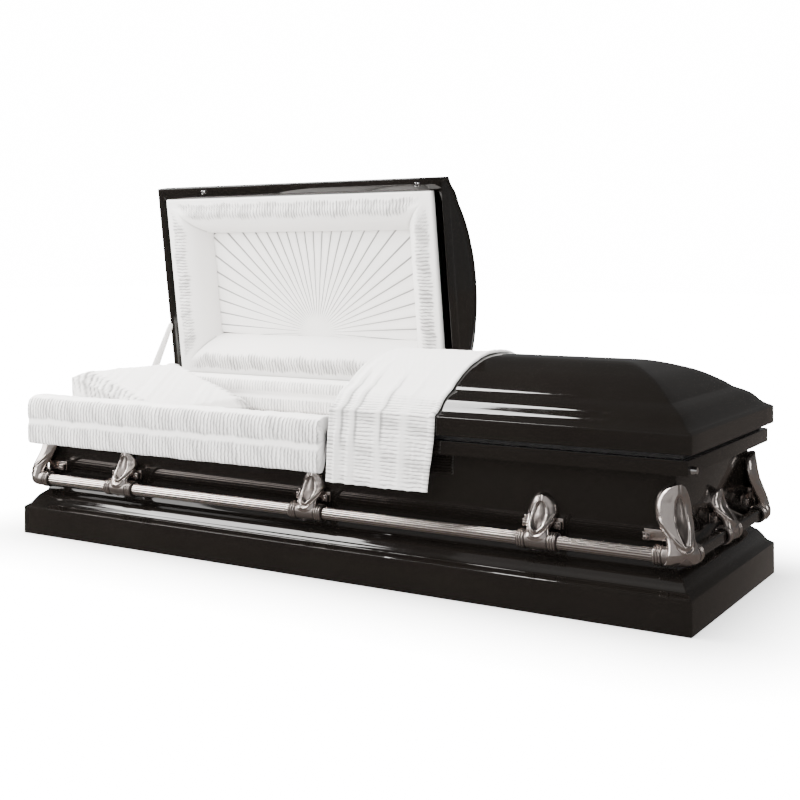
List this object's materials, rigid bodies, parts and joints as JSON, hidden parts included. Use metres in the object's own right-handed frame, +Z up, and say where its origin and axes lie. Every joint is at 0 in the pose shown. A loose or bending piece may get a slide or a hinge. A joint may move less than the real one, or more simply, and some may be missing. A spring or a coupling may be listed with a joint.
{
  "type": "casket",
  "caption": "Half-couch steel casket with a split domed lid, bar handles on cast arms, a moulded base and a gathered white cloth interior.",
  "frame": {"origin": "middle of the flat underside", "axes": "+X towards the foot end along the length, -Y the front, +Z up"},
  "size_m": [2.134, 0.8623, 1.1064],
  "materials": {
    "gloss_black_paint": "high-gloss black enamel on sheet steel",
    "antique_pewter": "bright pewter-toned plated castings with darker recesses",
    "chrome": "polished chrome",
    "plain_steel": "plain zinc-plated steel",
    "black_rubber": "matt black extruded gasket",
    "white_crepe": "white crinkled crepe, shirred and pleated"
  },
  "bodies": {
    "casket": {"arm_back_1": "antique_pewter", "arm_back_2": "antique_pewter", "arm_back_3": "antique_pewter", "arm_foot": "antique_pewter", "arm_front_1": "antique_pewter", "arm_front_2": "antique_pewter", "arm_front_3": "antique_pewter", "arm_head": "antique_pewter", "back_roll": "white_crepe", "bar_back": "antique_pewter", "bar_foot": "gloss_black_paint", "bar_front": "antique_pewter", "bar_head": "gloss_black_paint", "base_moulding": "gloss_black_paint", "bed_bearer_foot": "plain_steel", "bed_bearer_head": "plain_steel", "bed_board": "plain_steel", "body_lining": "white_crepe", "body_shell": "gloss_black_paint", "bottom_pan": "gloss_black_paint", "corner_back_foot": "antique_pewter", "corner_back_head": "antique_pewter", "corner_front_foot": "antique_pewter", "corner_front_head": "antique_pewter", "corner_lug_back_foot": "antique_pewter", "corner_lug_back_head": "antique_pewter", "corner_lug_front_foot": "antique_pewter", "corner_lug_front_head": "antique_pewter", "foot_hinge_1_body_leaf": "plain_steel", "foot_hinge_2_body_leaf": "plain_steel", "front_roll": "white_crepe", "gasket": "black_rubber", "head_hinge_1_body_leaf": "plain_steel", "head_hinge_2_body_leaf": "plain_steel", "lid_stay": "white_crepe", "lock_plug": "chrome", "lug_back_1": "antique_pewter", "lug_back_2": "antique_pewter", "lug_back_3": "antique_pewter", "lug_foot": "antique_pewter", "lug_front_1": "antique_pewter", "lug_front_2": "antique_pewter", "lug_front_3": "antique_pewter", "lug_head": "antique_pewter", "mattress": "white_crepe", "pillow": "white_crepe"},
    "head_lid": {"head_lid_shell": "gloss_black_paint", "head_lid_header": "gloss_black_paint", "lid_lining_border": "white_crepe", "lid_lining_panel": "white_crepe", "latch_strike_1": "chrome", "latch_strike_2": "chrome", "head_hinge_1_lid_leaf": "plain_steel", "head_hinge_2_lid_leaf": "plain_steel"},
    "foot_lid": {"foot_lid_shell": "gloss_black_paint", "foot_lid_header": "gloss_black_paint", "throw": "white_crepe", "foot_hinge_1_lid_leaf": "plain_steel", "foot_hinge_2_lid_leaf": "plain_steel"}
  },
  "joints": [
    {"name": "head_lid_hinge", "type": "hinge", "parent": "casket", "child": "head_lid", "pos_m": [0, 0.353, 0.405], "axis": [-1, 0, 0], "range_deg": [-82, 0], "deforming": ["front_roll", "back_roll", "pillow", "lid_stay"]},
    {"name": "foot_lid_hinge", "type": "hinge", "parent": "casket", "child": "foot_lid", "pos_m": [0, 0.353, 0.405], "axis": [-1, 0, 0], "range_deg": [0, 82]}
  ]
}
